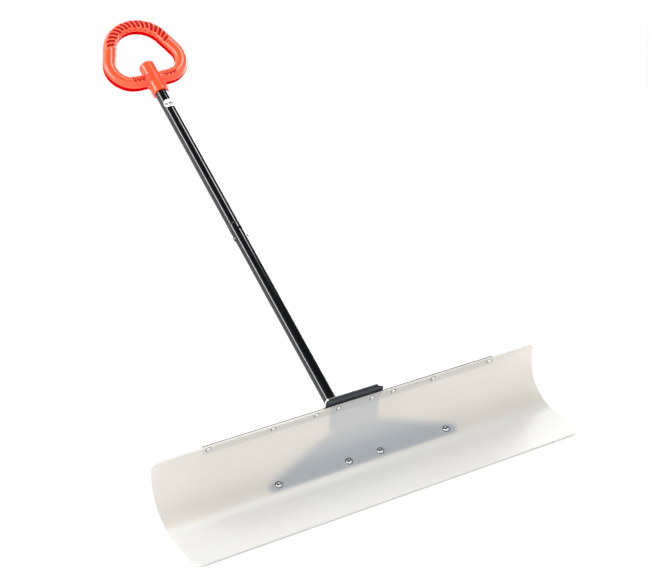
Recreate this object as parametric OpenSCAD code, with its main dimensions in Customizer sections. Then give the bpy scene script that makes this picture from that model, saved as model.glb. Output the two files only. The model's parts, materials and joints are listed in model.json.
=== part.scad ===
// Wide snow pusher: a curled plastic blade on a bent steel bracket, with a
// two-piece tube handle locked by a pair of sprung buttons and a loop grip.
//
// Millimetres, +Z up. The scraping edge rests on the ground line Y = 0, Z = 0,
// the blade faces -Y and the handle rises towards +Y. X is the blade's width.
//
// Everything is drawn in the handle's own frame and then leaned back: there Z
// runs up the handle from the bolt line, -Y points to the snow side, and the
// curl of the blade is a circle about (y, z) = (curl_y, 0).

/* [Blade] */
// Width of the blade
blade_w = 914; // [600:1:1100]
// Sheet thickness
blade_t = 5; // [3:0.5:8]
// Front face radius of the curl
curl_r = 88; // [70:1:140]
// Straight length from the scraping edge to the curl
flat_len = 92; // [50:1:150]
// Turn of the sheet from its straight part to the top edge
curl_turn = 109.7; // [60:0.1:120]
// Angle of the straight part seen from the handle's direction
flat_lean = 27; // [15:1:35]
// Radius of the lower corners
corner_r = 22; // [5:1:40]
// Radius of the upper corners
top_corner_r = 12; // [5:1:40]
// Chamfer-free thickness of the stiffening strip behind the top edge
strip_t = 2.5; // [1.5:0.5:4]
// Length of the stiffening strip
strip_len = 694; // [300:1:900]

/* [Fixings] */
// Offsets of the strip's rivets from the middle
rivet_x = [40, 92, 191, 335];
// Distance of the rivets from the blade's top edge
rivet_in = 6; // [6:0.5:20]
// Rivet head radius
rivet_r = 5; // [3:0.25:8]
// Offsets of the carriage bolts from the middle
bolt_x = [38, 202];
// Carriage bolt shank radius
bolt_r = 3.2; // [3:0.1:5]
// Carriage bolt head radius
bolt_head_r = 7; // [6:0.5:12]

/* [Bracket] */
// Plate thickness
plate_t = 3; // [2:0.5:4]
// Width of the flared base along the bolt line
base_w = 440; // [200:1:600]
// Width of the neck and of the folded top
neck_w = 118; // [60:1:200]
// Distance from the bolt line down to the base's lower edge
base_low = 14; // [12:1:30]
// Height where the flare starts above the bolt line
flare_z0 = 6; // [0:1:20]
// Height where the flare meets the neck
flare_z1 = 66; // [40:1:90]

/* [Handle] */
// Angle of the handle above the ground
handle_angle = 47; // [35:1:60]
// Turn of the handle about its own length
handle_turn = -4; // [-90:1:90]
// Tube outside radius
tube_r = 14.9; // [12:0.05:18]
// Tube wall
tube_wall = 1.5; // [1:0.1:2.5]
// Lower end of the tube above the bolt line
tube_z0 = 57; // [52:1:80]
// Seam between the lower and the upper tube
seam_z = 617; // [400:1:800]
// Length of the spigot inside the lower tube
spigot_len = 90; // [60:1:150]
// Height of the lock buttons
button_z = 583.5; // [400:0.5:780]
// Lock button radius
button_r = 5; // [3:0.25:6]
// Radial height of the lock buttons above the tube
button_h = 3.4; // [2:0.1:5]

/* [Grip] */
// Lower rim of the grip's collar
collar_z = 1013; // [800:1:1100]
// Height of the grip's lower bars
bar_z = 1055; // [1000:1:1150]
// Half width of the grip's section
ring_r = 15.5; // [12:0.5:20]
// Depth of the grip's flat-sided back half
ring_back = 14; // [8:0.5:18]
// Radius of the top arc's centre line
arch_r = 71.5; // [40:0.5:90]
// Height of the top arc's centre above the bars
arch_z = 82; // [40:0.5:110]
// Centre line radius of the side lobes
lobe_r = 49.5; // [25:0.5:60]
// Distance of the lobes' centres from the middle
lobe_x = 37.5; // [25:0.5:60]
// Forward lean of the loop against the handle
loop_lean = 6; // [0:1:15]

/* [Hidden] */
$fn = 96;
eps = 0.01;
gap = 0.15;
swell = 0.02;
lap = 0.4;

// curl of the blade and the bracket's plate over it
curl_y = -(curl_r + 14);
curl_top = curl_turn - flat_lean;
back_r = curl_r + blade_t;
strip_r = back_r + strip_t;
plate_r = back_r + plate_t;
rivet_a = curl_top - rivet_in / curl_r * 180 / PI;
strip_a = [curl_top - 12, curl_top - 0.3];

// the curved base is creased at kink_a, where the flat neck swallows its end;
// the socket's saddle stands on the neck
kink_a = 30;
kink_z = back_r * sin(kink_a);
neck_y = curl_y + plate_r * cos(kink_a) + 0.2;
socket_r = tube_r + 3.7;
base_a = asin(base_low / plate_r) + 3;

// folded top, from the leg riveted behind the strip to the top of the neck
nose_r = 2.5;
shoulder_r = 6;
leg_a = [curl_top - 14, curl_top + 1.5];
leg_end = turned([strip_r, 2.2], leg_a[1]) + [curl_y, 0];
nose_low = leg_end + turned([plate_t + nose_r, 0], leg_a[1]);
riser = 2.8;
ear = 10;
roof_z = nose_low[1] + riser + nose_r + plate_t;
roof_len = neck_y - plate_t - shoulder_r - nose_low[0];
neck_len = roof_z - plate_t - shoulder_r - kink_z;

// tubes
bore_r = tube_r - tube_wall;
spigot_r = bore_r - 0.1;
spigot_bore = spigot_r - tube_wall;
socket_z = [54, 142];
socket_bolt_z = 112;
tube_top = bar_z + 16;
hub_top = bar_z + 49;
tip_x = tube_r + button_h;
flange_r = button_r + 1.4;
flange_x = 7.6;

// ground point of the leaned part
lean = 90 - handle_angle;
edge = turned([back_r, -flat_len], -flat_lean) + [curl_y, 0];
ground = -turned(edge, -lean);

nut_af = 11;
label_z = [964, 985];

rivets = concat([for (i = [3:-1:0]) -rivet_x[i]], rivet_x);
bolts = [-bolt_x[1], -bolt_x[0], bolt_x[0], bolt_x[1]];

// a point turned about the origin, from +Y towards +Z
function turned(p, a) = [p[0] * cos(a) - p[1] * sin(a), p[0] * sin(a) + p[1] * cos(a)];

// ---- placing ----

module leaned() {
    translate([0, ground[0], ground[1]]) rotate([-lean, 0, 0]) children();
}

// frame on the curl: Y points away from its centre, Z along the sheet
module on_curl(a, r = 0) {
    translate([0, curl_y, 0]) rotate([a, 0, 0]) translate([0, r, 0]) children();
}

// frame that turns with the handle
module with_handle() {
    rotate([0, 0, handle_turn]) children();
}

// ---- shapes ----

// solid between two radii about the X axis, from +Y towards +Z
module sector(r0, r1, w, a) {
    rotate([90, 0, 90]) rotate_extrude(angle = a, $fn = 180)
        translate([r0, -w / 2]) square([r1 - r0, w]);
}

// curved sheet between two angles of the curl
module curl_shell(r0, r1, w, a0, a1) {
    on_curl(a0) sector(r0, r1, w, a1 - a0);
}

// bent plate: each step is [straight run, bend angle, inner radius]; a positive
// bend turns towards the plate's -Y side. Runs are a hair thicker than the bends
// and lap over their ends
module bent_plate(w, t, steps, i = 0) {
    if (i < len(steps)) {
        run = steps[i][0];
        bend = steps[i][1];
        r = steps[i][2];
        pivot = bend > 0 ? -r : t + r;
        if (run > 0) translate([-w / 2, -swell, -lap]) cube([w, t + 2 * swell, run + 2 * lap]);
        if (bend != 0) translate([0, pivot, run]) {
            mirror([0, bend > 0 ? 0 : 1, 0]) sector(r, r + t, w, abs(bend));
            rotate([bend, 0, 0]) translate([0, -pivot, 0]) bent_plate(w, t, steps, i + 1);
        }
    }
}

module tube(r0, r1, z0, z1) {
    translate([0, 0, z0]) difference() {
        cylinder(r = r1, h = z1 - z0);
        translate([0, 0, -1]) cylinder(r = r0, h = z1 - z0 + 2);
    }
}

// cylinder along Y from y0 to y1
module rod_y(r, y0, y1) {
    translate([0, y0, 0]) rotate([-90, 0, 0]) cylinder(r = r, h = y1 - y0);
}

// cylinder along X from x0 to x1
module rod_x(r, x0, x1) {
    translate([x0, 0, 0]) rotate([0, 90, 0]) cylinder(r = r, h = x1 - x0);
}

// low dome standing on the plane z = 0
module dome(r, h) {
    ball = (r * r + h * h) / (2 * h);
    intersection() {
        translate([0, 0, h - ball]) sphere(r = ball, $fn = 128);
        cylinder(r = r, h = h);
    }
}

module hex_nut(h, af, r) {
    difference() {
        intersection() {
            cylinder(r = af / sqrt(3), h = h, $fn = 6);
            translate([0, 0, -1]) cylinder(r = af / sqrt(3) - 0.35, h = h + 2);
        }
        translate([0, 0, -1]) cylinder(r = r, h = h + 2);
    }
}

// tool that rounds a sheet's corner, cutting along Y; the corner points to +X
// and +Z, and the arc meets both edges at a slight angle
module corner_cut(r) {
    translate([0, -15, 0]) difference() {
        cube([r + 40, 30, r + 40]);
        translate([0, -1, 0]) rotate([-90, 0, 0]) cylinder(r = r + 0.05, h = 32);
    }
}

// ---- blade ----

module blade() {
    color([0.92, 0.92, 0.9, 0.9]) difference() {
        union() {
            curl_shell(curl_r, back_r, blade_w, -flat_lean, curl_top);
            on_curl(-flat_lean, curl_r)
                translate([-blade_w / 2, 0, -flat_len]) cube([blade_w, blade_t, flat_len]);
        }
        for (side = [0, 1]) mirror([side, 0, 0]) {
            on_curl(-flat_lean, curl_r)
                translate([blade_w / 2 - corner_r, 0, -flat_len + corner_r])
                    mirror([0, 0, 1]) corner_cut(corner_r);
            on_curl(curl_top - top_corner_r / curl_r * 180 / PI, curl_r)
                translate([blade_w / 2 - top_corner_r, 0, 0]) corner_cut(top_corner_r);
        }
        for (x = rivets) on_curl(rivet_a) translate([x, 0, 0]) rod_y(2.6, curl_r - 5, back_r + 5);
        for (x = bolts) translate([x, 0, 0]) {
            rod_y(bolt_r + 0.3, curl_y + curl_r - 5, curl_y + back_r + 5);
            translate([-bolt_r - 0.3, curl_y + curl_r - 5, -bolt_r - 0.3])
                cube([2 * bolt_r + 0.6, 5 + 3.2, 2 * bolt_r + 0.6]);
        }
    }
}

module top_strip() {
    color([0.62, 0.63, 0.64]) difference() {
        curl_shell(back_r, strip_r, strip_len, strip_a[0], strip_a[1]);
        for (x = rivets) on_curl(rivet_a) translate([x, 0, 0]) rod_y(2.6, back_r - 5, strip_r + 5);
    }
}

// domed head on the snow side, set head behind the stack of sheets
module strip_rivet(x) {
    behind = abs(x) < neck_w / 2 ? strip_r + plate_t : strip_r;
    color([0.7, 0.7, 0.7]) on_curl(rivet_a) translate([x, 0, 0]) {
        rod_y(2.4, curl_r - 0.5, behind + 0.5);
        translate([0, curl_r - 0.15, 0]) rotate([90, 0, 0]) dome(rivet_r, 2.4);
        translate([0, behind + 0.12, 0]) rotate([-90, 0, 0]) dome(rivet_r - 0.8, 1.8);
    }
}

// ---- bracket ----

// face of the base and the neck's foot, seen along Y
module base_outline() {
    half = base_w / 2;
    end_r = 12;
    translate([-half + end_r, -base_low]) square([base_w - 2 * end_r, base_low + flare_z0]);
    for (side = [-1, 1]) {
        translate([side * (half - end_r), -base_low + end_r]) circle(r = end_r);
        translate([side * (half - end_r) - end_r, -base_low + end_r])
            square([2 * end_r, flare_z0 + base_low - end_r]);
    }
    polygon([[-half, flare_z0], [half, flare_z0], [neck_w / 2, flare_z1], [neck_w / 2, 200],
             [-neck_w / 2, 200], [-neck_w / 2, flare_z1]]);
}

// the riveted leg is wider than the roof, with ends that slant back to its width
module leg_outline() {
    half = neck_w / 2;
    polygon([[-half - ear, 60], [half + ear, 60], [half + ear, leg_end[1] + 2.5],
             [half - 1, leg_end[1] + 8], [-half + 1, leg_end[1] + 8],
             [-half - ear, leg_end[1] + 2.5]]);
}

module bracket() {
    color([0.1, 0.11, 0.13]) difference() {
        intersection() {
            union() {
                curl_shell(back_r, plate_r, base_w + 10, -base_a, kink_a);
                difference() {
                    on_curl(leg_a[0], strip_r) bent_plate(base_w + 10, plate_t, [
                        [0, leg_a[1] - leg_a[0], strip_r],  // leg riveted behind the strip
                        [2.2, -leg_a[1], nose_r],           // nose above the blade's edge
                        [riser, -90, nose_r],
                        [roof_len, -90, shoulder_r],        // roof, back to the tube
                        [neck_len + 3, 0, 0]]);             // neck, down the tube's front
                    intersection() {
                        translate([0, curl_y, 0]) rod_x(back_r + 0.3, -base_w, base_w);
                        translate([-base_w, -60, 0]) cube([2 * base_w, 80, kink_z + 8]);
                    }
                }
            }
            union() {
                translate([0, 160, 0]) rotate([90, 0, 0]) linear_extrude(300) base_outline();
                translate([0, -60, 0]) rotate([90, 0, 0]) linear_extrude(80) leg_outline();
            }
        }
        for (x = bolts) translate([x, 0, 0]) rod_y(bolt_r + 0.3, curl_y + back_r - 5, 0);
        for (i = [3, 4]) on_curl(rivet_a) translate([rivets[i], 0, 0])
            rod_y(2.6, strip_r - 2, strip_r + plate_t + 6);
    }
}

// sleeve for the tube with a flat saddle, welded to the back of the neck
module handle_socket() {
    color([0.08, 0.08, 0.09]) difference() {
        union() {
            translate([0, 0, socket_z[0]]) cylinder(r = socket_r, h = socket_z[1] - socket_z[0]);
            translate([-12, neck_y + swell, socket_z[0]]) cube([24, 12, neck_len - 6]);
        }
        translate([0, 0, socket_z[0] - 1]) cylinder(r = tube_r + gap, h = 200);
        translate([0, 0, socket_bolt_z]) rod_x(3.2, -40, 40);
    }
}

// ---- blade fixings, along Y at height 0 ----

module blade_bolt(x) {
    seat = curl_y + sqrt(curl_r * curl_r - bolt_head_r * bolt_head_r) - 0.02;
    neck = 2 * bolt_r + 0.1;
    color([0.75, 0.76, 0.78]) translate([x, 0, 0]) {
        translate([0, seat, 0]) rotate([90, 0, 0]) dome(bolt_head_r, 3.8);
        rod_y(bolt_r, seat - eps, curl_y + plate_r + 11.6);
        translate([-neck / 2, seat - eps, -neck / 2]) cube([neck, 3.2, neck]);
    }
}

module blade_washer(x) {
    color([0.7, 0.7, 0.72]) translate([x, 0, 0]) difference() {
        rod_y(8, curl_y + plate_r, curl_y + plate_r + 1.6);
        rod_y(bolt_r + 0.2, curl_y + plate_r - 1, curl_y + plate_r + 3);
    }
}

module blade_nut(x) {
    color([0.72, 0.72, 0.74]) translate([x, curl_y + plate_r + 1.6, 0]) rotate([-90, 0, 0]) {
        hex_nut(6.5, nut_af, bolt_r);
        difference() {
            translate([0, 0, 6.5]) cylinder(r = nut_af / 2 - 0.4, h = 2);
            translate([0, 0, 6]) cylinder(r = bolt_r, h = 4);
        }
    }
}

// ---- handle ----

module socket_bolt() {
    color([0.7, 0.7, 0.72]) translate([0, 0, socket_bolt_z]) {
        rod_x(3, -socket_r - 0.5, socket_r + 8.5);
        translate([-socket_r - 4, 0, 0]) rotate([0, 90, 0]) intersection() {
            cylinder(r = 10 / sqrt(3), h = 4, $fn = 6);
            cylinder(r = 10 / sqrt(3) - 0.3, h = 4);
        }
    }
}

module socket_washer() {
    color([0.7, 0.7, 0.72]) translate([0, 0, socket_bolt_z]) difference() {
        rod_x(6, socket_r, socket_r + 1.2);
        rod_x(3.2, socket_r - 1, socket_r + 3);
    }
}

module socket_nut() {
    color([0.7, 0.7, 0.72])
        translate([socket_r + 1.2, 0, socket_bolt_z]) rotate([0, 90, 0]) hex_nut(5, 10, 3);
}

module tube_plug() {
    color([0.12, 0.12, 0.12]) {
        translate([0, 0, tube_z0 - 2]) cylinder(r = tube_r - 0.2, h = 2);
        translate([0, 0, tube_z0 - eps]) cylinder(r = bore_r - 0.05, h = 14);
    }
}

// the two holes for the lock buttons
module button_holes() {
    translate([0, 0, button_z]) rod_x(button_r + 0.08, -30, 30);
}

module lower_tube() {
    color([0.06, 0.06, 0.07]) difference() {
        tube(bore_r, tube_r, tube_z0, seam_z);
        with_handle() button_holes();
        translate([0, 0, socket_bolt_z]) rod_x(3.2, -40, 40);
    }
}

module upper_tube() {
    color([0.06, 0.06, 0.07]) with_handle() difference() {
        union() {
            tube(bore_r, tube_r, seam_z + 0.4, tube_top);
            tube(spigot_bore, spigot_r, seam_z - spigot_len, seam_z + 6);
            tube(spigot_r - eps, bore_r + eps, seam_z + 0.4, seam_z + 6);
        }
        button_holes();
        translate([0, 0, collar_z + 20]) rod_y(2, 0, 30);
    }
}

// round-nosed pin with an inner flange that stops it in the wall
module lock_button() {
    nose = 1.4;
    color([0.75, 0.76, 0.78]) translate([0, 0, button_z]) {
        rod_x(flange_r, flange_x, flange_x + 1.4);
        rod_x(button_r, flange_x, tip_x - nose);
        translate([tip_x - nose, 0, 0]) rotate([0, 90, 0]) dome(button_r, nose);
    }
}

// U of spring strip: its bow grips the spigot's bore, its ends press the buttons
module button_clip() {
    t = 0.7;
    w = 9;
    bow = floor(100 * sqrt(spigot_bore * spigot_bore - w * w / 4) - 1) / 100;
    tip = flange_x - 0.05;
    color([0.6, 0.6, 0.6]) with_handle() translate([0, 0, button_z - 46]) rotate([90, 0, 0]) {
        for (side = [0, 1]) mirror([side, 0, 0]) linear_extrude(w, center = true)
            polygon([[bow - t, 0], [bow, 0], [tip, 38], [tip, 51], [tip - t, 51], [tip - t, 38]]);
        mirror([0, 1, 0]) rotate_extrude(angle = 180) translate([bow - t, -w / 2]) square([t, w]);
    }
}

module label() {
    color([0.9, 0.9, 0.88]) with_handle() translate([0, 0, label_z[0]])
        rotate([0, 0, -144]) rotate_extrude(angle = 224)
            translate([tube_r, 0]) square([0.25, label_z[1] - label_z[0]]);
}

// ---- grip ----

// section of the loop: round in front, straight-sided behind
module ring_section(grow = 0) {
    r = 5;
    half = ring_r + grow;
    back = ring_back + grow;
    intersection() {
        circle(r = half);
        translate([-half, -half]) square([2 * half, half]);
    }
    translate([-half, 0]) square([2 * half, back - r]);
    translate([-half + r, 0]) square([2 * (half - r), back]);
    for (side = [-1, 1]) translate([side * (half - r), back - r]) circle(r = r);
}

// arc of the loop about an axis along Y, from a0 to a1 seen from the front
module ring_arc(x, z, r, a0, a1) {
    translate([x, 0, z]) rotate([90, -a0, 0]) rotate_extrude(angle = a1 - a0, $fn = 120)
        translate([r, 0]) mirror([0, 1]) ring_section();
}

// straight of the loop from p to q in the (x, z) plane, lapping a little over
// the arcs at its ends
module ring_bar(p, q, lap = 0) {
    d = q - p;
    translate([p[0], 0, p[1]]) rotate([0, atan2(d[0], d[1]), 0]) translate([0, 0, -lap])
        linear_extrude(norm(d) + 2 * lap) ring_section(lap / 20);
}

module loop() {
    lobe = [lobe_x, lobe_r];
    arch = [0, arch_z];
    d = arch - lobe;
    side_a = acos((arch_r - lobe_r) / norm(d)) - atan2(d[1], -d[0]);
    n = [cos(side_a), sin(side_a)];
    ring_arc(0, arch_z, arch_r, side_a, 180 - side_a);
    for (side = [0, 1]) mirror([side, 0, 0]) {
        ring_bar(lobe + lobe_r * n, arch + arch_r * n, 1);
        ring_arc(lobe[0], lobe[1], lobe_r, -90, side_a);
        ring_bar([0, 0], [lobe_x, 0]);
    }
}

module grip() {
    hub_r = tube_r + 4.8;
    web = 26;
    color([0.95, 0.25, 0.13]) with_handle() difference() {
        union() {
            translate([0, 0, bar_z]) rotate([loop_lean, 0, 0]) loop();
            translate([0, 0, collar_z]) cylinder(r1 = hub_r, r2 = hub_r - 0.8, h = 30);
            translate([0, 0, collar_z + 30]) cylinder(r = hub_r - 0.8, h = hub_top - 7.6 - collar_z - 30);
            translate([0, 0, hub_top - 7.6]) dome(hub_r - 0.8, 7.6);
            translate([0, 3, 0]) rotate([90, 0, 0]) linear_extrude(6)
                polygon([[-web, bar_z - ring_r + 2], [-hub_r + 4, collar_z + 8],
                         [hub_r - 4, collar_z + 8], [web, bar_z - ring_r + 2]]);
        }
        translate([0, 0, collar_z - 1]) cylinder(r = tube_r + 0.1, h = tube_top - collar_z + 1.2);
        translate([0, 0, collar_z + 20]) rod_y(2, 0, 30);
    }
}

// pan head screw through the back of the collar into the tube
module grip_screw() {
    color([0.6, 0.6, 0.62]) with_handle() translate([0, 0, collar_z + 20]) {
        rod_y(1.9, bore_r - 4, tube_r + 4.5);
        translate([0, tube_r + 4.4, 0]) rotate([-90, 0, 0]) dome(3.8, 2.2);
    }
}

leaned() blade();
leaned() top_strip();
for (i = [1:8]) leaned() strip_rivet(rivets[i - 1]);
leaned() bracket();
leaned() handle_socket();
for (i = [1:4]) leaned() blade_bolt(bolts[i - 1]);
for (i = [1:4]) leaned() blade_washer(bolts[i - 1]);
for (i = [1:4]) leaned() blade_nut(bolts[i - 1]);
leaned() socket_bolt();
leaned() socket_washer();
leaned() socket_nut();
leaned() tube_plug();
leaned() lower_tube();
leaned() upper_tube();
leaned() button_clip();
leaned() with_handle() mirror([1, 0, 0]) lock_button();  // lock_button_left
leaned() with_handle() lock_button();  // lock_button_right
leaned() label();
leaned() grip();
leaned() grip_screw();
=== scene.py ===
"""Looks for the wide snow pusher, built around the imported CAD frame.

Sizes are in metres in the frame's own axes: X across the blade, +Z up, the scraping
edge on the ground at Y = 0. Points written (x, y, z) in millimetres belong to the
handle's frame: z runs up the handle from the bolt line, -y looks to the snow side.
The loop's frame has its origin on the grip's lower bars and leans with the loop.
"""
import json
import math
import random

import bmesh
import bpy
from mathutils import Matrix, Vector


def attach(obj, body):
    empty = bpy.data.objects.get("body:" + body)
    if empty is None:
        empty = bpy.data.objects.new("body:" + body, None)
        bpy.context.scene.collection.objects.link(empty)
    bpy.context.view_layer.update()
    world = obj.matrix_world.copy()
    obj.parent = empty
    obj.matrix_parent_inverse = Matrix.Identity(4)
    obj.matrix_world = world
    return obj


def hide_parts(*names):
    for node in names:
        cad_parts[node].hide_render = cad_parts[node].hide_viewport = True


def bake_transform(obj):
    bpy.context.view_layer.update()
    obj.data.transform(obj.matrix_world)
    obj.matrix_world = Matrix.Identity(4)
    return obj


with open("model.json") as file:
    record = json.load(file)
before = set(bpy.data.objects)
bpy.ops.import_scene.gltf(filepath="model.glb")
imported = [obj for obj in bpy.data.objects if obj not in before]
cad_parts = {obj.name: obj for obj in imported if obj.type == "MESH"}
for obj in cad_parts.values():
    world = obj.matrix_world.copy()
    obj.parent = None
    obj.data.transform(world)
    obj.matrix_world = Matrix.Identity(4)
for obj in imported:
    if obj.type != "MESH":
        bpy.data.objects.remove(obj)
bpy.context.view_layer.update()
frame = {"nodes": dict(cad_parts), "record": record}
NODES = frame["nodes"]


random.seed(7)
sin, cos, rad, pi = math.sin, math.cos, math.radians, math.pi

# ---- frames and sizes ----

HANDLE = (Matrix.Translation((0, 0.129242, 0.049293)) @ Matrix.Rotation(rad(-43), 4, "X")
          @ Matrix.Scale(0.001, 4))
TURNED = HANDLE @ Matrix.Rotation(rad(-4), 4, "Z")
LOOP = TURNED @ Matrix.Translation((0, 0, 1055)) @ Matrix.Rotation(rad(6), 4, "X")

CURL_Y, CURL_R, CURL_TOP = -102, 88, 82.7
TUBE_R = 14.9
COLLAR_Z, HUB_TOP, HUB_R = 1013, 1104, 18.9
RING_R, RING_BACK = 15.5, 14
ARCH_R, ARCH_Z, LOBE_R, LOBE_X = 71.5, 82, 49.5, 37.5
RIVET_A = CURL_TOP - math.degrees(6 / CURL_R)
RIVET_X, BOLT_X = (40, 92, 191, 335), (38, 202)
SEAM_Z = 617
UP_HANDLE = (0, 0.682, 0.731)

# ---- camera ----

camera_data = bpy.data.cameras.new("camera")
camera_data.lens = 88.85
camera_data.sensor_width = 36
camera_data.clip_end = 400
camera = bpy.data.objects.new("camera", camera_data)
camera.matrix_world = (
    Matrix.Translation((-1.5194, -2.5847, 1.1124))
    @ Matrix.Rotation(rad(-28.764), 4, "Z")
    @ Matrix.Rotation(rad(90 - 12.734), 4, "X")
    @ Matrix.Rotation(rad(-8.435), 4, "Z")
)
scene = bpy.context.scene
scene.collection.objects.link(camera)
scene.camera = camera
scene.view_settings.view_transform = "Standard"

# ---- building ----


def link(obj):
    scene.collection.objects.link(obj)
    return obj


def strip_light(name, place, target, size, power):
    """Long soft box aimed at a target, its long side as near as it can be to the handle's way."""
    data = bpy.data.lights.new(name, "AREA")
    data.shape = "RECTANGLE"
    data.size, data.size_y = size
    data.energy = power
    lamp = link(bpy.data.objects.new(name, data))
    lamp.location = place
    z = (Vector(place) - Vector(target)).normalized()
    x = Vector(UP_HANDLE).cross(z).normalized()
    lamp.rotation_euler = Matrix((x, z.cross(x), z)).transposed().to_euler()


def new_mesh(name, points, faces, matrix=None, material=None, smooth=True):
    """A mesh object from points given in the matrix's frame."""
    if matrix:
        points = [matrix @ Vector(p) for p in points]
    mesh = bpy.data.meshes.new(name)
    mesh.from_pydata([tuple(p) for p in points], [], faces)
    mesh.validate()
    work = bmesh.new()
    work.from_mesh(mesh)
    bmesh.ops.recalc_face_normals(work, faces=work.faces)
    work.to_mesh(mesh)
    work.free()
    if smooth:
        mesh.shade_smooth()
    if material:
        mesh.materials.append(material)
    return link(bpy.data.objects.new(name, mesh))


class Parts:
    """Points and faces of several closed bodies gathered into one mesh."""

    def __init__(self):
        self.points, self.faces = [], []

    def add(self, points, faces):
        start = len(self.points)
        self.points += points
        self.faces += [tuple(start + i for i in f) for f in faces]

    def rings(self, rings, closed=False):
        """Skin a row of equal closed rings; the ends are capped unless it is closed."""
        n = len(rings[0])
        last = len(rings) if closed else len(rings) - 1
        faces = []
        for i in range(last):
            a, b = i * n, (i + 1) % len(rings) * n
            faces += [(a + k, a + (k + 1) % n, b + (k + 1) % n, b + k) for k in range(n)]
        if not closed:
            faces.append(tuple(range(n)))
            faces.append(tuple(range((len(rings) - 1) * n, len(rings) * n)))
        self.add([p for ring in rings for p in ring], faces)

    def slab(self, grid, normals, low, high):
        """Closed shell over a grid of surface points, from low to high along its normals."""
        rows, cols = len(grid), len(grid[0])
        points = [g + n * high for gr, nr in zip(grid, normals) for g, n in zip(gr, nr)]
        points += [g + n * low for gr, nr in zip(grid, normals) for g, n in zip(gr, nr)]
        under = rows * cols
        faces = []
        for i in range(rows - 1):
            for j in range(cols - 1):
                a = i * cols + j
                face = (a, a + 1, a + cols + 1, a + cols)
                faces += [face, tuple(under + k for k in reversed(face))]
        rim = ([(0, j) for j in range(cols)] + [(i, cols - 1) for i in range(1, rows)]
               + [(rows - 1, j) for j in range(cols - 2, -1, -1)]
               + [(i, 0) for i in range(rows - 2, 0, -1)])
        rim = [i * cols + j for i, j in rim]
        for a, b in zip(rim, rim[1:] + rim[:1]):
            faces.append((b, a, under + a, under + b))
        self.add(points, faces)

    def ridge(self, line, normals, width, height, sink=0.4, steps=6):
        """Rounded ridge standing on a surface along a line of points."""
        rings = []
        for i, (p, n) in enumerate(zip(line, normals)):
            ahead = (line[min(i + 1, len(line) - 1)] - line[max(i - 1, 0)]).normalized()
            side = n.cross(ahead).normalized()
            fade = 0.5 if i in (0, len(line) - 1) else 1
            ring = [p + side * (width / 2 * fade) - n * sink]
            for k in range(steps + 1):
                t = pi * k / steps
                ring.append(p + side * (cos(t) * width / 2 * fade) + n * (sin(t) * height * fade))
            ring.append(p - side * (width / 2 * fade) - n * sink)
            rings.append(ring)
        self.rings(rings)

    def lathe(self, profile, steps=64, place=Matrix()):
        """Solid of revolution from (radius, height) pairs; its ends close on the axis."""
        rings = []
        for r, h in profile:
            turns = [2 * pi * k / steps for k in range(steps)]
            rings.append([place @ Vector((r * cos(t), r * sin(t), h)) for t in turns])
        self.rings(rings)

    def build(self, name, matrix, material, smooth=True):
        return new_mesh(name, self.points, self.faces, matrix, material, smooth)


# ---- materials ----


class Shader:
    """A Principled material with short calls for its node tree."""

    def __init__(self, name, **values):
        self.material = bpy.data.materials.new(name)
        self.material.use_nodes = True
        self.tree = self.material.node_tree
        self.bsdf = self.tree.nodes["Principled BSDF"]
        self.coords = self.tree.nodes.new("ShaderNodeTexCoord").outputs["Object"]
        for key, value in values.items():
            self.bsdf.inputs[key.replace("_", " ")].default_value = value

    def node(self, kind, **settings):
        made = self.tree.nodes.new("ShaderNode" + kind)
        for key, value in settings.items():
            setattr(made, key, value)
        return made

    def join(self, source, target):
        if isinstance(source, (int, float, tuple)):
            target.default_value = source
        else:
            self.tree.links.new(source, target)

    def mapped(self, scale=(1, 1, 1), turn=(0, 0, 0), shift=(0, 0, 0), source=None):
        node = self.node("Mapping")
        self.join(source or self.coords, node.inputs["Vector"])
        node.inputs["Location"].default_value = shift
        node.inputs["Rotation"].default_value = turn
        node.inputs["Scale"].default_value = scale
        return node.outputs["Vector"]

    def local(self, matrix):
        """Coordinates in one of the millimetre frames."""
        back = matrix.inverted()
        turn = (back.to_3x3() * 0.001).to_euler("XYZ")
        return self.mapped((1000, 1000, 1000), turn, back.translation)

    def noise(self, scale, detail=3, rough=0.5, source=None):
        node = self.node("TexNoise")
        self.join(source or self.coords, node.inputs["Vector"])
        node.inputs["Scale"].default_value = scale
        node.inputs["Detail"].default_value = detail
        node.inputs["Roughness"].default_value = rough
        return node.outputs["Fac"]

    def math(self, kind, a, b=0.0, c=0.0):
        node = self.node("Math", operation=kind)
        self.join(a, node.inputs[0])
        self.join(b, node.inputs[1])
        self.join(c, node.inputs[2])
        return node.outputs[0]

    def span(self, value, low, high, to_low=0.0, to_high=1.0, smooth=False):
        node = self.node("MapRange")
        node.interpolation_type = "SMOOTHSTEP" if smooth else "LINEAR"
        for key, item in (("Value", value), ("From Min", low), ("From Max", high),
                          ("To Min", to_low), ("To Max", to_high)):
            self.join(item, node.inputs[key])
        return node.outputs["Result"]

    def times(self, *items):
        out = items[0]
        for item in items[1:]:
            out = self.math("MULTIPLY", out, item)
        return out

    def split(self, source=None):
        node = self.node("SeparateXYZ")
        self.join(source or self.coords, node.inputs[0])
        return node.outputs

    def mix(self, share, a, b):
        node = self.node("Mix", data_type="RGBA")
        self.join(share, node.inputs["Factor"])
        self.join(a, node.inputs["A"])
        self.join(b, node.inputs["B"])
        return node.outputs["Result"]

    def bump(self, height, strength, distance, normal=None):
        node = self.node("Bump")
        self.join(height, node.inputs["Height"])
        node.inputs["Strength"].default_value = strength
        node.inputs["Distance"].default_value = distance
        if normal:
            self.join(normal, node.inputs["Normal"])
        return node.outputs["Normal"]

    def set(self, **inputs):
        for key, source in inputs.items():
            self.join(source, self.bsdf.inputs[key.replace("_", " ")])


def rgb(r, g, b):
    """Colour from 0-255 screen values."""
    def linear(c):
        c /= 255
        return c / 12.92 if c <= 0.04045 else ((c + 0.055) / 1.055) ** 2.4
    return (linear(r), linear(g), linear(b), 1)


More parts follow.
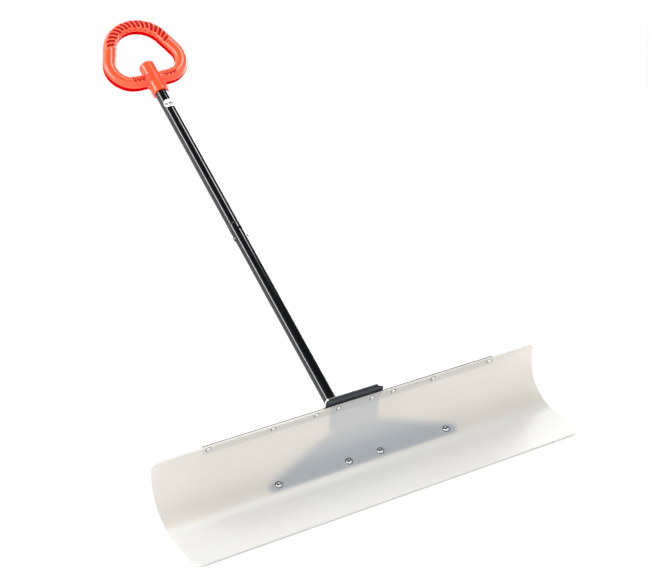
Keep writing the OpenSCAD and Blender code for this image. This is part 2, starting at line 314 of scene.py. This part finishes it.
def sheet_plastic():
    """Milky sheet: the shade of the steel plate and of the top strip behind it is painted onto its front
    as soft darker patches.
    """
    s = Shader("sheet_plastic", IOR=1.48)
    s.bsdf.inputs["Subsurface Weight"].default_value = 0.25
    s.bsdf.inputs["Subsurface Radius"].default_value = (1.0, 1.0, 1.0)
    s.bsdf.inputs["Subsurface Scale"].default_value = 0.003
    x, y, z = s.split(s.local(HANDLE))
    ax = s.math("ABSOLUTE", x)
    out = s.math("SUBTRACT", y, float(CURL_Y))
    radius = s.math("SQRT", s.math("ADD", s.times(out, out), s.times(z, z)))
    angle = s.math("MULTIPLY", s.math("ARCTAN2", z, out), 180 / pi)
    front = s.span(radius, 90.0, 90.8, 1.0, 0.0)

    # painted shade of the plate: its outline is a rounded base with a flare up to the neck
    flare = s.math("POWER", s.span(z, 4.0, 60.0, 1.0, 0.0), 0.85)
    half = s.math("ADD", s.times(flare, 165.0), 59.0)
    slope = s.math("MAXIMUM", s.span(z, 2.0, 10.0, 1.0, 0.378), s.span(z, 62.0, 70.0, 0.378, 1.0))
    inside = s.times(s.math("SUBTRACT", half, ax), slope)
    above = s.math("ADD", z, 14.5)
    depth = s.math("SMOOTH_MIN", inside, above, 12.0)
    blur = s.math("MINIMUM", s.span(z, -12.0, 10.0, 5.0, 15.0), s.span(z, 42.0, 84.0, 15.0, 2.5))
    share = s.math("DIVIDE", depth, s.times(blur, 2.0))
    plate = s.times(s.span(share, -0.5, 0.5, smooth=True), front)
    # the painted shade of the plate is weaker higher up
    near = s.span(z, 20.0, 70.0, 1.0, 0.62, smooth=True)
    # painted shade of the top strip: a band along the upper edge of the front
    strip = s.times(s.span(angle, 69.5, 73.0), s.span(ax, 345.0, 350.0, 1.0, 0.0), front)

    cloud = s.noise(5, 2)
    streak = s.noise(1, 3, 0.6, s.mapped((2.5, 60, 60)))
    tone = s.mix(cloud, rgb(207, 203, 197), rgb(198, 194, 185))
    # painted light: the lower flat of the sheet is painted a cooler, lighter white than the curl
    tone = s.mix(s.span(z, -30.0, -8.0, 1.0, 0.0, smooth=True), tone, rgb(205, 205, 202))
    tone = s.mix(s.span(streak, 0.35, 0.75, 0.0, 0.2), tone, rgb(196, 195, 189))
    # the painted shades of the top strip and of the plate are mixed into the front's colour
    tone = s.mix(s.times(strip, 0.32), tone, rgb(150, 150, 146))
    tone = s.mix(s.times(plate, near), tone, rgb(161, 166, 171))
    # the back of the sheet is painted darker and greyer than its front
    behind = s.split(s.node("NewGeometry").outputs["True Normal"])[1]
    tone = s.mix(s.span(behind, 0.05, 0.2, 0.0, 0.8), tone, rgb(158, 159, 157))
    # fine scuffs near the scraping edge
    scuff = s.noise(1, 4, 0.7, s.mapped((30, 900, 900), (0.3, 0.2, 0.4)))
    edge = s.span(s.split()[2], 0.004, 0.03, 1.0, 0.0)
    worn = s.times(s.span(scuff, 0.62, 0.7), edge)
    tone = s.mix(s.times(worn, 0.25), tone, rgb(205, 203, 198))
    grain = s.noise(900, 3, 0.6)
    rough = s.math("ADD", s.span(cloud, 0.3, 0.7, 0.34, 0.42), s.times(worn, 0.15))
    normal = s.bump(streak, 0.12, 0.0006, s.bump(grain, 0.15, 0.0001))
    s.set(Base_Color=tone, Roughness=rough, Normal=normal)
    return s.material


def metal(name, colour, roughness, metallic=1.0, brushed=(1, 1, 1), dark=0.25, grain=500):
    """Metal with a brushed or cast grain, stains and small scratches."""
    s = Shader(name)
    lines = s.noise(1, 4, 0.6, s.mapped(tuple(grain * b for b in brushed)))
    stain = s.noise(90, 3, 0.6)
    scratch = s.noise(1, 2, 0.7, s.mapped((180, 2400, 600), (0.5, 0.2, 0.8)))
    deep = tuple(c * (1 - dark) for c in colour[:3]) + (1,)
    tone = s.mix(s.span(lines, 0.3, 0.7), colour, deep)
    tone = s.mix(s.span(stain, 0.55, 0.75, 0.0, 0.3), tone, deep)
    marks = s.span(scratch, 0.66, 0.72)
    rough = s.math("ADD", s.span(lines, 0.3, 0.7, roughness * 0.8, roughness * 1.2),
                   s.times(marks, 0.12))
    height = s.math("ADD", lines, s.times(marks, -0.6))
    s.set(Base_Color=tone, Metallic=metallic, Roughness=rough, Normal=s.bump(height, 0.2, 0.00008))
    return s.material


def black_steel():
    """Satin powder coat with small chips of metal, and a painted highlight on the cut edges along the
    folded top, which are also part metallic.
    """
    s = Shader("black_steel", IOR=1.5)
    x, y, z = s.split(s.local(HANDLE))
    peel = s.noise(650, 4, 0.55)
    cloud = s.noise(25, 3, 0.6)
    tone = s.mix(cloud, rgb(13, 21, 28), rgb(23, 32, 41))
    # painted highlight: the cut end faces of the folded top are painted light and part metallic; the
    # small chips share this mask
    facing = s.math("ABSOLUTE", s.split(s.node("NewGeometry").outputs["True Normal"])[0])
    edge_highlight_and_chips = s.times(s.span(facing, 0.3, 0.4), s.span(z, 66.0, 68.0),
                   s.span(s.math("ABSOLUTE", x), 52.0, 55.0), s.span(peel, 0.3, 0.5, 0.75, 1.0))
    chips = s.times(s.span(s.noise(260, 2, 0.8), 0.70, 0.74), 0.35)
    edge_highlight_and_chips = s.math("MAXIMUM", edge_highlight_and_chips, chips)
    tone = s.mix(edge_highlight_and_chips, tone, rgb(196, 200, 202))
    rough = s.span(peel, 0.3, 0.7, 0.36, 0.5)
    s.set(Base_Color=tone, Metallic=s.times(edge_highlight_and_chips, 0.6), Roughness=rough,
          Normal=s.bump(peel, 0.35, 0.00018))
    return s.material


def tube_black():
    """Gloss paint with orange peel, dust and light rubbing along the handle."""
    s = Shader("tube_black", IOR=1.44)
    peel = s.noise(350, 2, 0.5)
    rub = s.noise(1, 4, 0.7, s.mapped((0.9, 0.9, 0.02), source=s.local(HANDLE)))
    dust = s.noise(1900, 2, 0.7)
    tone = s.mix(s.span(rub, 0.35, 0.75), rgb(3, 4, 6), rgb(9, 10, 13))
    tone = s.mix(s.span(dust, 0.68, 0.72, 0.0, 0.12), tone, rgb(90, 90, 92))
    rough = s.math("ADD", s.span(rub, 0.3, 0.7, 0.09, 0.16), s.span(dust, 0.6, 0.72, 0.0, 0.15))
    s.set(Base_Color=tone, Roughness=rough, Normal=s.bump(peel, 0.08, 0.0002))
    return s.material


def moulding(name, light, deep, dark_part=None, rough=0.36):
    """Moulded plastic with flow marks and a fine spark-eroded grain. A dark part is
    a second colour for the rear half of the loop, taken darker and without shine as painted shade."""
    s = Shader(name, IOR=1.5)
    s.bsdf.inputs["Subsurface Weight"].default_value = 0.08
    s.bsdf.inputs["Subsurface Radius"].default_value = (1.0, 0.3, 0.15)
    s.bsdf.inputs["Subsurface Scale"].default_value = 0.002
    grain = s.noise(1500, 3, 0.6)
    flow = s.noise(28, 3, 0.6)
    tone = s.mix(s.span(flow, 0.3, 0.7), light, deep)
    if dark_part:
        x, y, z = s.split(s.local(LOOP))
        across = s.math("ABSOLUTE", x)
        clear_of_hub = s.math("MAXIMUM", s.span(across, 18.0, 20.0), s.span(z, 54.0, 57.0))
        rear = s.times(s.span(y, -3.4, -3.0), clear_of_hub)
        # painted shade: the rear half of the loop is painted deep red and loses its shine
        tone = s.mix(rear, tone, dark_part)
        s.set(Specular_IOR_Level=s.span(rear, 0.0, 1.0, 0.5, 0.0))
    smear = s.noise(1, 3, 0.7, s.mapped((140, 20, 300), (0.4, 0.3, 0.1)))
    tone = s.mix(s.span(smear, 0.62, 0.78, 0.0, 0.12), tone, tuple(c * 0.6 for c in deep[:3]) + (1,))
    s.set(Base_Color=tone,
          Roughness=s.math("ADD", s.span(grain, 0.3, 0.7, rough - 0.05, rough + 0.05),
                           s.span(smear, 0.6, 0.8, 0.0, 0.1)),
          Normal=s.bump(grain, 0.2, 0.00012))
    return s.material


def film():
    s = Shader("label_film", IOR=1.5)
    fibre = s.noise(700, 3, 0.6)
    dirt = s.noise(60, 3, 0.6)
    tone = s.mix(s.span(dirt, 0.5, 0.8, 0.0, 0.4), rgb(246, 246, 244), rgb(222, 221, 216))
    s.set(Base_Color=tone, Roughness=s.span(fibre, 0.3, 0.7, 0.32, 0.45),
          Normal=s.bump(fibre, 0.15, 0.00008))
    return s.material


def dark_matt(name, light, deep, rough, shine=0.5):
    s = Shader(name, IOR=1.45)
    s.bsdf.inputs["Specular IOR Level"].default_value = shine
    grain = s.noise(800, 4, 0.6)
    cloud = s.noise(70, 3, 0.6)
    s.set(Base_Color=s.mix(cloud, light, deep),
          Roughness=s.span(grain, 0.3, 0.7, rough - 0.08, rough + 0.08),
          Normal=s.bump(grain, 0.3, 0.00015))
    return s.material


# the third colour is the deep red of the loop's rear half, darkened as painted shade
ORANGE = moulding("orange_plastic", rgb(252, 78, 38), rgb(244, 66, 30), rgb(172, 0, 4), rough=0.27)
# painted light: the raised ridges are a lighter copy of the orange
RIDGE_LIT = moulding("orange_ridge_lit", rgb(255, 108, 72), rgb(250, 86, 50), rough=0.26)
# painted shade: the deep red in the grooves between the grip's ridges
GROOVE_SHADE = dark_matt("red_groove_shade", rgb(178, 12, 8), rgb(132, 6, 6), 0.5, 0.12)
DOT = dark_matt("dark_dot", rgb(96, 6, 8), rgb(64, 4, 6), 0.6, 0.15)
# painted shade round the rivet and bolt heads, and a painted dark reflection on the bolt heads
SHADE_AND_REFLECTION = dark_matt("shade_and_dark_reflection", rgb(52, 54, 54), rgb(36, 38, 38), 0.6)
INK = dark_matt("label_ink", rgb(44, 46, 50), rgb(26, 28, 32), 0.5)
MATERIALS = {
    "sheet_plastic": sheet_plastic(),
    "strip_metal": metal("strip_metal", rgb(86, 87, 88), 0.42, brushed=(0.05, 1, 1)),
    "rivet_metal": metal("rivet_metal", rgb(226, 226, 224), 0.28, dark=0.15),
    "black_steel": black_steel(),
    "tube_black": tube_black(),
    "bolt_steel": metal("bolt_steel", rgb(186, 187, 189), 0.1, dark=0.4, grain=420),
    "zinc_steel": metal("zinc_steel", rgb(186, 187, 182), 0.34),
    "button_steel": metal("button_steel", rgb(120, 122, 125), 0.25, dark=0.3),
    "spring_steel": metal("spring_steel", rgb(148, 148, 150), 0.3, brushed=(0.1, 1, 1)),
    "black_plastic": dark_matt("black_plastic", rgb(30, 30, 31), rgb(20, 20, 21), 0.5),
    "label_film": film(),
    "orange_plastic": ORANGE,
}

slot_of = {s["node"]: s["material_slot"] for s in frame["record"]["subparts"]}
for name, obj in NODES.items():
    obj.data.materials.clear()
    obj.data.materials.append(MATERIALS[slot_of[name]])

# ---- grip ----


def loop_path():
    """Centre line of the loop, once round from the hub's right, with outward normals."""
    lobe = Vector((LOBE_X, LOBE_R))
    arch = Vector((0, ARCH_Z))
    d = arch - lobe
    turn = math.acos((ARCH_R - LOBE_R) / d.length) - math.atan2(d.y, -d.x)
    pts = [(Vector((x, 0)), Vector((0, -1))) for x in range(0, 36, 4)]
    for k in range(31):
        a = -pi / 2 + (turn + pi / 2) * k / 30
        n = Vector((cos(a), sin(a)))
        pts.append((lobe + n * LOBE_R, n))
    n = Vector((cos(turn), sin(turn)))
    for k in range(1, 6):
        pts.append((lobe + n * LOBE_R + (arch + n * ARCH_R - lobe - n * LOBE_R) * k / 6, n))
    for k in range(41):
        a = turn + (pi / 2 - turn) * k / 40
        n = Vector((cos(a), sin(a)))
        pts.append((arch + n * ARCH_R, n))
    left = [(Vector((-p.x, p.y)), Vector((-n.x, n.y))) for p, n in reversed(pts[1:-1])]
    return pts + left


def section():
    """Outline of the loop's section: half round in front, a small step, then a flat-sided back."""
    ring = [(RING_R * cos(t), RING_R * sin(t)) for t in [-pi * k / 24 for k in range(25)]]
    half, r = RING_R - 0.9, 6
    back = [(-RING_R, 1.4), (-half, 1.6)]
    back += [(-half + r - r * cos(t), RING_BACK - r + r * sin(t))
             for t in [pi / 2 * k / 6 for k in range(7)]]
    back += [(-p, q) for p, q in reversed(back)]
    return ring + back


def loop_point(p, n, u, v):
    return Vector((p.x + n.x * u, v, p.y + n.y * u))


LOOP_BACK = TURNED.inverted() @ LOOP
grip = Parts()
grip.rings([[LOOP_BACK @ loop_point(p, n, u, v) for u, v in section()] for p, n in loop_path()],
           closed=True)
hub = [(HUB_R - 1.2, COLLAR_Z), (HUB_R + 0.8, COLLAR_Z + 0.8), (HUB_R + 0.8, COLLAR_Z + 6),
       (HUB_R + 0.4, COLLAR_Z + 16), (HUB_R, COLLAR_Z + 30)]
hub += [(HUB_R, z) for z in range(COLLAR_Z + 36, HUB_TOP - 12, 6)]
hub += [(HUB_R - 6 + 6 * cos(t), HUB_TOP - 8.5 + 6 * sin(t)) for t in [pi / 2 * k / 8 for k in range(8)]]
hub += [(11, HUB_TOP - 2.1), (8, HUB_TOP - 1.2), (4, HUB_TOP - 0.4), (0.5, HUB_TOP - 0.2)]
grip.lathe(hub)
for side in (-1, 1):
    web = [(27, 1043), (24, 1055), (4, 1055), (4, COLLAR_Z + 8), (HUB_R - 3, COLLAR_Z + 8),
           (HUB_R + 1, COLLAR_Z + 20)]
    grip.rings([[Vector((side * a, y, b)) for a, b in web] for y in (-4, 4)])
grip_body = grip.build("grip_body", TURNED, None)


def apply_modifiers(obj):
    made = bpy.data.meshes.new_from_object(obj.evaluated_get(bpy.context.evaluated_depsgraph_get()))
    obj.modifiers.clear()
    obj.data = made


remesh = grip_body.modifiers.new("skin", "REMESH")
remesh.mode = "VOXEL"
remesh.voxel_size = 0.0012
relax = grip_body.modifiers.new("relax", "SMOOTH")
relax.factor, relax.iterations = 0.5, 7
apply_modifiers(grip_body)
grip_body.data.shade_smooth()
grip_body.data.materials.append(ORANGE)


def on_arch(angle, phi):
    """Point and normal on the loop's front: angle along the top arc, phi round its section."""
    n = Vector((cos(rad(angle)), sin(rad(angle))))
    p = Vector((0, ARCH_Z)) + n * ARCH_R
    out = Vector((n.x * cos(rad(phi)), sin(rad(phi)), n.y * cos(rad(phi))))
    return Vector((p.x, 0, p.y)) + out * RING_R, out


def on_bar(x, phi, rise=0.0):
    """The same on a lower bar, following the lobe where the bar ends."""
    side = 1 if x > 0 else -1
    a = abs(x)
    if a <= LOBE_X:
        p, n = Vector((x, 0)), Vector((0, -1))
    else:
        t = (a - LOBE_X) / LOBE_R - pi / 2
        n = Vector((side * cos(t), sin(t)))
        p = Vector((side * LOBE_X, LOBE_R)) + n * LOBE_R
    out = Vector((n.x * cos(rad(phi)), sin(rad(phi)), n.y * cos(rad(phi))))
    return Vector((p.x, 0, p.y)) + out * (RING_R + rise), out


def patch(where, us, phis):
    cells = [[where(u, phi) for phi in phis] for u in us]
    return [[c[0] for c in row] for row in cells], [[c[1] for c in row] for row in cells]


def steps(a, b, n):
    return [a + (b - a) * k / n for k in range(n + 1)]


# top field: deep red painted shade in the grooves, crossed by slanted U-shaped ridges, with a row of
# dots inside
PROUD = 0.8
BAR_IN, BAR_OUT = 20, 57
groove_shade_field = Parts()
A0, A1, BARS = 6, 163, 17
groove_shade_field.slab(*patch(on_arch, steps(A0, A1, 80), steps(-131, -53, 14)), -0.6, 0.25)
# the same painted groove shade on the two lower bars
for side in (-1, 1):
    cells = patch(lambda u, phi: on_bar(u, phi, PROUD),
                  steps(side * BAR_IN, side * BAR_OUT, 24), steps(-158, -62, 14))
    groove_shade_field.slab(*cells, -1.6, 0.25)
groove_shade_field.build("grip_groove_shade", LOOP, GROOVE_SHADE)

ridges = Parts()
pitch = (A1 - A0) / BARS
for k in range(BARS + 1):
    a = A0 + k * pitch
    line = [on_arch(a + 0.10 * (phi + 92), phi) for phi in steps(-130, -54, 16)]
    ridges.ridge([p for p, n in line], [n for p, n in line], 3.1, 1.3)
    if k < BARS:
        turn_phi = -131 if k % 2 else -53
        shift = 0.10 * (turn_phi + 92)
        line = [on_arch(u + shift, turn_phi) for u in steps(a, a + pitch, 8)]
        ridges.ridge([p for p, n in line], [n for p, n in line], 2.8, 1.2)
for side in (-1, 1):
    for k in range(8):
        x = side * (21 + 4.9 * k)
        line = [on_bar(x + side * 0.03 * (phi + 110), phi, PROUD) for phi in steps(-156, -92, 12)]
        ridges.ridge([p for p, n in line], [n for p, n in line], 2.0, 1.2)
    for k in range(4):
        x = side * (24 + 9.8 * k)
        tip = [on_bar(x + side * 4.2 * w, -62 - 22 * (1 - abs(w)), PROUD) for w in steps(-1, 1, 8)]
        ridges.ridge([p for p, n in tip], [n for p, n in tip], 2.4, 1.1)
    rim = ([(side * BAR_IN, phi) for phi in steps(-158, -62, 10)]
           + [(side * u, -62) for u in steps(BAR_IN, BAR_OUT, 12)][1:]
           + [(side * BAR_OUT, phi) for phi in steps(-62, -158, 10)][1:]
           + [(side * u, -158) for u in steps(BAR_OUT, BAR_IN, 12)][1:])
    line = [on_bar(u, phi, PROUD) for u, phi in rim]
    ridges.ridge([p for p, n in line], [n for p, n in line], 1.6, 0.7)
ridges.build("grip_ridges", LOOP, RIDGE_LIT)

dots = Parts()
for k in range(14):
    p, n = on_arch(10 + k * 11.6, -149 - (8 if k > 7 else 0))
    face = n.to_track_quat("Z", "Y").to_matrix().to_4x4()
    dots.lathe([(1.5, -0.5), (1.5, 0.15), (1.1, 0.4), (0.3, 0.45)], steps=12,
               place=Matrix.Translation(p) @ face)
dots.build("grip_dots", LOOP, DOT)

# ---- label ----

label = Parts()
L0, L1 = 961, 982
mid, high = (L0 + L1) / 2, (L1 - L0) / 2


def on_tube(angle, z):
    n = Vector((cos(rad(angle)), sin(rad(angle)), 0))
    return n * TUBE_R + Vector((0, 0, z)), n


grid, normals = [], []
for k in range(61):
    angle = -144 + 224 * k / 60
    near_end = min(angle + 144, 80 - angle) * rad(1) * TUBE_R
    reach = high * math.sqrt(max(0.02, 1 - (1 - min(1, near_end / high)) ** 2))
    cells = [on_tube(angle, mid + reach * w) for w in steps(-1, 1, 8)]
    grid.append([c[0] for c in cells])
    normals.append([c[1] for c in cells])
label.slab(grid, normals, 0.01, 0.25)
label_piece = label.build("label_wrap", TURNED, MATERIALS["label_film"])

marks = Parts()
for start, count in ((-136, 3), (-102, 5)):
    for k in range(count):
        tall = random.choice((6.5, 8.0, 9.5))
        base = mid - 4.4
        across = steps(start + 10 * k, start + 10 * k + random.uniform(6.5, 8.5), 3)
        marks.slab(*patch(on_tube, across, steps(base, base + tall, 2)), 0.2, 0.3)
marks.slab(*patch(on_tube, steps(-128, 34, 40), steps(mid - 7.2, mid - 5.8, 1)), 0.2, 0.29)
marks.build("label_marks", TURNED, INK)

# ---- rolled lip of the lower tube and the dark joint above it ----

lip = Parts()
lip.lathe([(TUBE_R - 0.4, SEAM_Z - 20), (TUBE_R + 0.1, SEAM_Z - 18), (TUBE_R + 0.45, SEAM_Z - 15),
           (TUBE_R + 0.45, SEAM_Z - 1.8), (TUBE_R + 0.1, SEAM_Z - 0.4), (TUBE_R - 0.4, SEAM_Z - 0.1)])
lip.build("seam_lip", TURNED, MATERIALS["tube_black"])
gap = Parts()
gap.lathe([(TUBE_R - 0.4, SEAM_Z - 0.2), (TUBE_R + 0.12, SEAM_Z), (TUBE_R + 0.12, SEAM_Z + 2.6),
           (TUBE_R - 0.4, SEAM_Z + 2.8)])
gap.build("seam_joint", TURNED, INK)

# ---- spring strip behind the lock buttons: a bow and two bent leaves ----

CLIP_Z, CLIP_BOW, CLIP_TIP = 537.5, 10.89, 7.55
CLIP_BEND = 38


def strip_grid(line):
    """Outer surface of a 9 mm wide strip along a line of ((x, z), normal) pairs."""
    return ([[Vector((x, y, CLIP_Z + z)) for y in (-4.5, 0, 4.5)] for (x, z), n in line],
            [[Vector((n[0], 0, n[1]))] * 3 for p, n in line])


bow = Parts()
turns = [(cos(rad(a)), sin(rad(a))) for a in steps(2, -182, 32)]
bow.slab(*strip_grid([((CLIP_BOW * c, CLIP_BOW * d), (c, d)) for c, d in turns]), -0.7, 0.0)
clip_bow = bow.build("clip_bow", TURNED, MATERIALS["spring_steel"])
leaves = {}
for side, body in ((-1, "button_left"), (1, "button_right")):
    rise = [0.2 + 1.05 * k for k in range(36)] + [CLIP_BEND, 42, 46, 51]
    line = [((side * (CLIP_BOW + (CLIP_TIP - CLIP_BOW) * min(z, CLIP_BEND) / CLIP_BEND), z),
             (side, 0)) for z in rise]
    leaf = Parts()
    leaf.slab(*strip_grid(line), -0.7, 0.0)
    leaves[body] = leaf.build("clip_leaf_" + body[7:], TURNED, MATERIALS["spring_steel"])

# ---- painted shade rings under the rivets and bolt heads, and a painted dark reflection on each bolt head ----

shade_and_reflection_marks = Parts()


def on_sheet(x, angle, rise):
    turn = Matrix.Rotation(rad(angle), 4, "X")
    return (Matrix.Translation((x, CURL_Y, 0)) @ turn
            @ Matrix.Translation((0, CURL_R - rise, 0)) @ Matrix.Rotation(rad(90), 4, "X"))


# painted shade: a thin dark ring under each rivet head
for x in RIVET_X:
    for side in (-1, 1):
        shade_and_reflection_marks.lathe([(6.3, -0.1), (6.3, 0.12), (5.9, 0.22), (1, 0.24)], steps=32,
                    place=on_sheet(side * x, RIVET_A, 0.05))
for x in BOLT_X:
    for side in (-1, 1):
        # painted shade: a dark ring under each bolt head
        shade_and_reflection_marks.lathe([(8.1, -0.1), (8.1, 0.3), (7.6, 0.45), (1, 0.47)], steps=40,
                    place=on_sheet(side * x, 0, 0.05))
        # painted reflection: a small dark spot on the top of each bolt head
        shade_and_reflection_marks.lathe([(1.8, 3.3), (1.8, 3.63), (1.2, 3.8), (0.3, 3.86)], steps=24,
                    place=on_sheet(side * x, 0, 0.05))
shade_and_reflection_marks.build("head_shade_and_reflection", HANDLE, SHADE_AND_REFLECTION)

for piece in [o for o in scene.collection.objects if o.type == "MESH" and o.name not in NODES]:
    if piece not in leaves.values():
        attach(piece, "shovel")
for body in leaves:
    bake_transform(leaves[body])
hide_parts("button_clip")
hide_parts("grip")
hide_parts("label")

# ---- stage and light ----

s = Shader("floor")
s.set(Base_Color=s.mix(s.noise(3, 2), rgb(250, 250, 250), rgb(247, 247, 247)),
      Roughness=s.span(s.noise(60, 2), 0.3, 0.7, 0.75, 0.9),
      Normal=s.bump(s.noise(200, 2), 0.05, 0.0002))
FAR = 150
floor = new_mesh("floor", [(-FAR, -FAR, 0), (FAR, -FAR, 0), (FAR, FAR, 0), (-FAR, FAR, 0)],
                 [(0, 1, 2, 3)], smooth=False)
floor.location.z = -0.0005
floor.data.materials.append(s.material)

# white surround with a dim ceiling towards the snow side and the right
world = bpy.data.worlds.new("world")
scene.world = world
world.use_nodes = True
nodes, links = world.node_tree.nodes, world.node_tree.links
ways = nodes.new("ShaderNodeTexCoord").outputs["Generated"]


def dimmed(direction, start, full, least):
    """A factor that falls from 1 to its least towards one direction of the surround."""
    aim = nodes.new("ShaderNodeVectorMath")
    aim.operation = "DOT_PRODUCT"
    links.new(ways, aim.inputs[0])
    aim.inputs[1].default_value = Vector(direction).normalized()
    fall = nodes.new("ShaderNodeMapRange")
    fall.interpolation_type = "SMOOTHSTEP"
    links.new(aim.outputs["Value"], fall.inputs["Value"])
    for key, value in (("From Min", start), ("From Max", full), ("To Min", 1.0), ("To Max", least)):
        fall.inputs[key].default_value = value
    return fall.outputs["Result"]


both = nodes.new("ShaderNodeMath")
both.operation = "MULTIPLY"
links.new(dimmed((-0.1, -0.3, 0.93), 0.60, 0.86, 0.08), both.inputs[0])
links.new(dimmed((0.72, -0.05, 0.66), 0.78, 0.93, 0.12), both.inputs[1])
level = nodes.new("ShaderNodeMath")
level.operation = "MULTIPLY"
links.new(both.outputs[0], level.inputs[0])
level.inputs[1].default_value = 2.05
links.new(level.outputs[0], nodes["Background"].inputs["Strength"])
nodes["Background"].inputs["Color"].default_value = (1, 1, 1, 1)


strip_light("left_strip", (-2.6, 0.77, 1.9), (0, 0.5, 0.45), (0.42, 2.8), 88)
strip_light("right_strip", (2.7, 1.4, 0.95), (0, 0.3, 0.25), (0.7, 2.6), 80)
strip_light("top_bar", (0.85, 0.2, 2.45), (0, 0.72, 0.7), (0.5, 0.62), 17)
